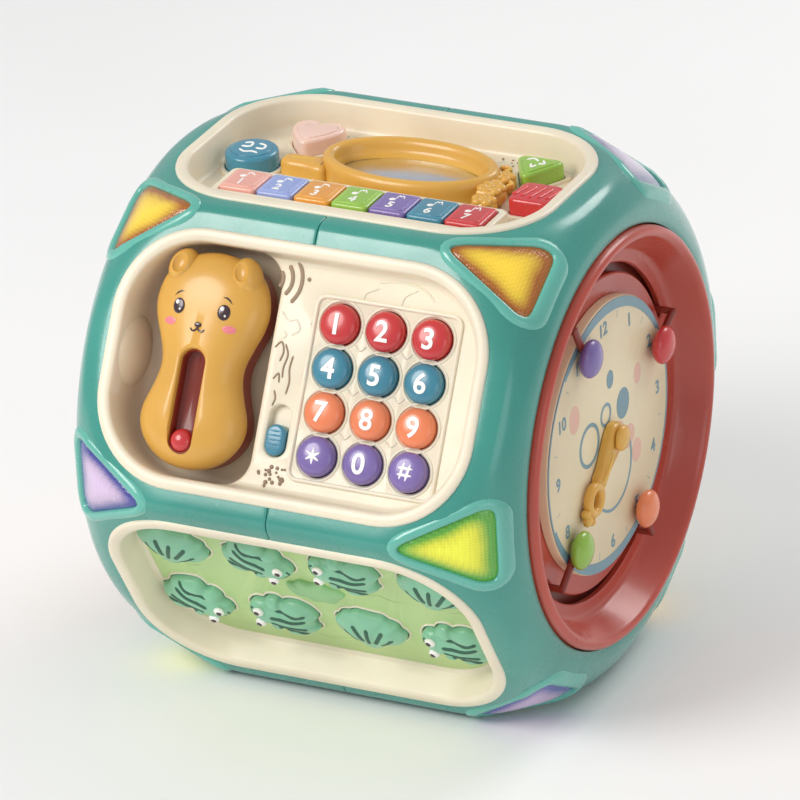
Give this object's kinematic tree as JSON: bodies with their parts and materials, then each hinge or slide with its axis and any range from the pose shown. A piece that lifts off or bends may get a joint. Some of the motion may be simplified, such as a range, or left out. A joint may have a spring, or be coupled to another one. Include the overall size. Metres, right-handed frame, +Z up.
{
  "type": "baby activity cube",
  "caption": "Six-sided musical activity toy with a play tray on every side, a bead-and-hand clock on one end, a drum on the other and a lift-out handset.",
  "frame": {"origin": "on the floor under the middle of the toy (bottom centre of its box)", "axes": "+Z up, +X along the prism's axis towards the clock end, -Y towards the handset side"},
  "size_m": [0.196, 0.2318, 0.205],
  "materials": {
    "teal_shell": "satin injection-moulded ABS",
    "cream_panel": "satin injection-moulded ABS",
    "rose_ring": "glossy injection-moulded ABS",
    "gold_trim": "glossy injection-moulded ABS",
    "terracotta": "satin injection-moulded ABS",
    "red_key": "glossy",
    "steel_blue_key": "glossy",
    "orange_key": "glossy",
    "purple_key": "glossy",
    "lime_key": "glossy",
    "pink_key": "glossy",
    "periwinkle_key": "glossy",
    "pond_green": "satin",
    "lens_tint": "translucent, faceted inside",
    "dial_print": "printed dial",
    "mirror_silver": "silvered acrylic",
    "board_green": "circuit board",
    "speaker_black": "speaker frame and magnet"
  },
  "bodies": {
    "body": {"shell_right": "teal_shell", "shell_left": "teal_shell", "phone_panel": "cream_panel", "top_panel": "cream_panel", "pond_panel": "cream_panel", "tracing_panel": "cream_panel", "shapes_panel": "cream_panel", "base_panel": "cream_panel", "battery_door": "cream_panel", "clock_ring": "rose_ring", "drum_ring": "rose_ring", "lens_ring_right": "lens_tint", "lens_ring_left": "lens_tint", "clock_dial": "dial_print", "hand_pivot": "gold_trim", "mirror_frame": "gold_trim", "mirror_plate": "mirror_silver", "main_board": "board_green", "speaker": "speaker_black"},
    "handset": {"handset_front": "gold_trim", "handset_back": "terracotta"},
    "handset_bead": {"handset_bead": "red_key"},
    "volume_slider": {"volume_slider": "steel_blue_key"},
    "clock_bead_purple": {"clock_bead_purple": "purple_key"},
    "clock_bead_red": {"clock_bead_red": "red_key"},
    "clock_bead_orange": {"clock_bead_orange": "orange_key"},
    "clock_bead_green": {"clock_bead_green": "lime_key"},
    "clock_hand": {"clock_hand": "gold_trim"},
    "drum_pad": {"drum_pad": "cream_panel"},
    "top_button_round": {"top_button_round": "steel_blue_key"},
    "top_button_heart": {"top_button_heart": "pink_key"},
    "top_button_triangle": {"top_button_triangle": "lime_key"},
    "top_button_ribbed": {"top_button_ribbed": "red_key"},
    "piano_key_1": {"piano_key_1": "pink_key"},
    "piano_key_2": {"piano_key_2": "periwinkle_key"},
    "piano_key_3": {"piano_key_3": "orange_key"},
    "piano_key_4": {"piano_key_4": "lime_key"},
    "piano_key_5": {"piano_key_5": "purple_key"},
    "piano_key_6": {"piano_key_6": "steel_blue_key"},
    "piano_key_7": {"piano_key_7": "red_key"},
    "pond_button_upper_1": {"pond_button_upper_1": "pond_green"},
    "pond_button_upper_2": {"pond_button_upper_2": "pond_green"},
    "pond_button_upper_3": {"pond_button_upper_3": "pond_green"},
    "pond_button_upper_4": {"pond_button_upper_4": "pond_green"},
    "pond_button_lower_1": {"pond_button_lower_1": "pond_green"},
    "pond_button_lower_2": {"pond_button_lower_2": "pond_green"},
    "pond_button_lower_3": {"pond_button_lower_3": "pond_green"},
    "pond_button_lower_4": {"pond_button_lower_4": "pond_green"},
    "keypad_r1_c1": {"keypad_r1_c1": "red_key"},
    "keypad_r1_c2": {"keypad_r1_c2": "red_key"},
    "keypad_r1_c3": {"keypad_r1_c3": "red_key"},
    "keypad_r2_c1": {"keypad_r2_c1": "steel_blue_key"},
    "keypad_r2_c2": {"keypad_r2_c2": "steel_blue_key"},
    "keypad_r2_c3": {"keypad_r2_c3": "steel_blue_key"},
    "keypad_r3_c1": {"keypad_r3_c1": "orange_key"},
    "keypad_r3_c2": {"keypad_r3_c2": "orange_key"},
    "keypad_r3_c3": {"keypad_r3_c3": "orange_key"},
    "keypad_r4_c1": {"keypad_r4_c1": "purple_key"},
    "keypad_r4_c2": {"keypad_r4_c2": "purple_key"},
    "keypad_r4_c3": {"keypad_r4_c3": "purple_key"}
  },
  "joints": [
    {"name": "handset_lift", "type": "slide", "parent": "body", "child": "handset", "axis": [0, -0.866, 0.5], "range_m": [0, 0.06]},
    {"name": "handset_bead_slide", "type": "slide", "parent": "handset", "child": "handset_bead", "axis": [0, 0.5, 0.866], "range_m": [0, 0.03]},
    {"name": "volume_slide", "type": "slide", "parent": "body", "child": "volume_slider", "axis": [0, 0.5, 0.866], "range_m": [0, 0.0072]},
    {"name": "clock_bead_purple_slide", "type": "hinge", "parent": "body", "child": "clock_bead_purple", "pos_m": [0, 0, 0.1025], "axis": [-1, 0, 0], "range_deg": [0, 34]},
    {"name": "clock_bead_red_slide", "type": "hinge", "parent": "body", "child": "clock_bead_red", "pos_m": [0, 0, 0.1025], "axis": [-1, 0, 0], "range_deg": [-34, 0]},
    {"name": "clock_bead_orange_slide", "type": "hinge", "parent": "body", "child": "clock_bead_orange", "pos_m": [0, 0, 0.1025], "axis": [-1, 0, 0], "range_deg": [0, 28]},
    {"name": "clock_bead_green_slide", "type": "hinge", "parent": "body", "child": "clock_bead_green", "pos_m": [0, 0, 0.1025], "axis": [-1, 0, 0], "range_deg": [-28, 0]},
    {"name": "clock_hand_turn", "type": "hinge", "parent": "body", "child": "clock_hand", "pos_m": [0.092, 0, 0.1025], "axis": [-1, 0, 0], "continuous": true},
    {"name": "drum_pad_press", "type": "slide", "parent": "body", "child": "drum_pad", "axis": [1, 0, 0], "range_m": [0, 0.002], "stiffness_N_per_m": 900, "springref_m": -0.002},
    {"name": "top_button_round_press", "type": "slide", "parent": "body", "child": "top_button_round", "axis": [0, 0, -1], "range_m": [0, 0.0025], "stiffness_N_per_m": 400, "springref_m": -0.002},
    {"name": "top_button_heart_press", "type": "slide", "parent": "body", "child": "top_button_heart", "axis": [0, 0, -1], "range_m": [0, 0.0025], "stiffness_N_per_m": 400, "springref_m": -0.002},
    {"name": "top_button_triangle_press", "type": "slide", "parent": "body", "child": "top_button_triangle", "axis": [0, 0, -1], "range_m": [0, 0.0025], "stiffness_N_per_m": 400, "springref_m": -0.002},
    {"name": "top_button_ribbed_press", "type": "slide", "parent": "body", "child": "top_button_ribbed", "axis": [0, 0, -1], "range_m": [0, 0.0025], "stiffness_N_per_m": 400, "springref_m": -0.002},
    {"name": "piano_key_1_press", "type": "slide", "parent": "body", "child": "piano_key_1", "axis": [0, 0, -1], "range_m": [0, 0.0025], "stiffness_N_per_m": 400, "springref_m": -0.002},
    {"name": "piano_key_2_press", "type": "slide", "parent": "body", "child": "piano_key_2", "axis": [0, 0, -1], "range_m": [0, 0.0025], "stiffness_N_per_m": 400, "springref_m": -0.002},
    {"name": "piano_key_3_press", "type": "slide", "parent": "body", "child": "piano_key_3", "axis": [0, 0, -1], "range_m": [0, 0.0025], "stiffness_N_per_m": 400, "springref_m": -0.002},
    {"name": "piano_key_4_press", "type": "slide", "parent": "body", "child": "piano_key_4", "axis": [0, 0, -1], "range_m": [0, 0.0025], "stiffness_N_per_m": 400, "springref_m": -0.002},
    {"name": "piano_key_5_press", "type": "slide", "parent": "body", "child": "piano_key_5", "axis": [0, 0, -1], "range_m": [0, 0.0025], "stiffness_N_per_m": 400, "springref_m": -0.002},
    {"name": "piano_key_6_press", "type": "slide", "parent": "body", "child": "piano_key_6", "axis": [0, 0, -1], "range_m": [0, 0.0025], "stiffness_N_per_m": 400, "springref_m": -0.002},
    {"name": "piano_key_7_press", "type": "slide", "parent": "body", "child": "piano_key_7", "axis": [0, 0, -1], "range_m": [0, 0.0025], "stiffness_N_per_m": 400, "springref_m": -0.002},
    {"name": "pond_button_upper_1_press", "type": "slide", "parent": "body", "child": "pond_button_upper_1", "axis": [0, 0.866, 0.5], "range_m": [0, 0.003], "stiffness_N_per_m": 400, "springref_m": -0.002},
    {"name": "pond_button_upper_2_press", "type": "slide", "parent": "body", "child": "pond_button_upper_2", "axis": [0, 0.866, 0.5], "range_m": [0, 0.003], "stiffness_N_per_m": 400, "springref_m": -0.002},
    {"name": "pond_button_upper_3_press", "type": "slide", "parent": "body", "child": "pond_button_upper_3", "axis": [0, 0.866, 0.5], "range_m": [0, 0.003], "stiffness_N_per_m": 400, "springref_m": -0.002},
    {"name": "pond_button_upper_4_press", "type": "slide", "parent": "body", "child": "pond_button_upper_4", "axis": [0, 0.866, 0.5], "range_m": [0, 0.003], "stiffness_N_per_m": 400, "springref_m": -0.002},
    {"name": "pond_button_lower_1_press", "type": "slide", "parent": "body", "child": "pond_button_lower_1", "axis": [0, 0.866, 0.5], "range_m": [0, 0.003], "stiffness_N_per_m": 400, "springref_m": -0.002},
    {"name": "pond_button_lower_2_press", "type": "slide", "parent": "body", "child": "pond_button_lower_2", "axis": [0, 0.866, 0.5], "range_m": [0, 0.003], "stiffness_N_per_m": 400, "springref_m": -0.002},
    {"name": "pond_button_lower_3_press", "type": "slide", "parent": "body", "child": "pond_button_lower_3", "axis": [0, 0.866, 0.5], "range_m": [0, 0.003], "stiffness_N_per_m": 400, "springref_m": -0.002},
    {"name": "pond_button_lower_4_press", "type": "slide", "parent": "body", "child": "pond_button_lower_4", "axis": [0, 0.866, 0.5], "range_m": [0, 0.003], "stiffness_N_per_m": 400, "springref_m": -0.002},
    {"name": "keypad_r1_c1_press", "type": "slide", "parent": "body", "child": "keypad_r1_c1", "axis": [0, 0.866, -0.5], "range_m": [0, 0.0025], "stiffness_N_per_m": 400, "springref_m": -0.002},
    {"name": "keypad_r1_c2_press", "type": "slide", "parent": "body", "child": "keypad_r1_c2", "axis": [0, 0.866, -0.5], "range_m": [0, 0.0025], "stiffness_N_per_m": 400, "springref_m": -0.002},
    {"name": "keypad_r1_c3_press", "type": "slide", "parent": "body", "child": "keypad_r1_c3", "axis": [0, 0.866, -0.5], "range_m": [0, 0.0025], "stiffness_N_per_m": 400, "springref_m": -0.002},
    {"name": "keypad_r2_c1_press", "type": "slide", "parent": "body", "child": "keypad_r2_c1", "axis": [0, 0.866, -0.5], "range_m": [0, 0.0025], "stiffness_N_per_m": 400, "springref_m": -0.002},
    {"name": "keypad_r2_c2_press", "type": "slide", "parent": "body", "child": "keypad_r2_c2", "axis": [0, 0.866, -0.5], "range_m": [0, 0.0025], "stiffness_N_per_m": 400, "springref_m": -0.002},
    {"name": "keypad_r2_c3_press", "type": "slide", "parent": "body", "child": "keypad_r2_c3", "axis": [0, 0.866, -0.5], "range_m": [0, 0.0025], "stiffness_N_per_m": 400, "springref_m": -0.002},
    {"name": "keypad_r3_c1_press", "type": "slide", "parent": "body", "child": "keypad_r3_c1", "axis": [0, 0.866, -0.5], "range_m": [0, 0.0025], "stiffness_N_per_m": 400, "springref_m": -0.002},
    {"name": "keypad_r3_c2_press", "type": "slide", "parent": "body", "child": "keypad_r3_c2", "axis": [0, 0.866, -0.5], "range_m": [0, 0.0025], "stiffness_N_per_m": 400, "springref_m": -0.002},
    {"name": "keypad_r3_c3_press", "type": "slide", "parent": "body", "child": "keypad_r3_c3", "axis": [0, 0.866, -0.5], "range_m": [0, 0.0025], "stiffness_N_per_m": 400, "springref_m": -0.002},
    {"name": "keypad_r4_c1_press", "type": "slide", "parent": "body", "child": "keypad_r4_c1", "axis": [0, 0.866, -0.5], "range_m": [0, 0.0025], "stiffness_N_per_m": 400, "springref_m": -0.002},
    {"name": "keypad_r4_c2_press", "type": "slide", "parent": "body", "child": "keypad_r4_c2", "axis": [0, 0.866, -0.5], "range_m": [0, 0.0025], "stiffness_N_per_m": 400, "springref_m": -0.002},
    {"name": "keypad_r4_c3_press", "type": "slide", "parent": "body", "child": "keypad_r4_c3", "axis": [0, 0.866, -0.5], "range_m": [0, 0.0025], "stiffness_N_per_m": 400, "springref_m": -0.002}
  ]
}
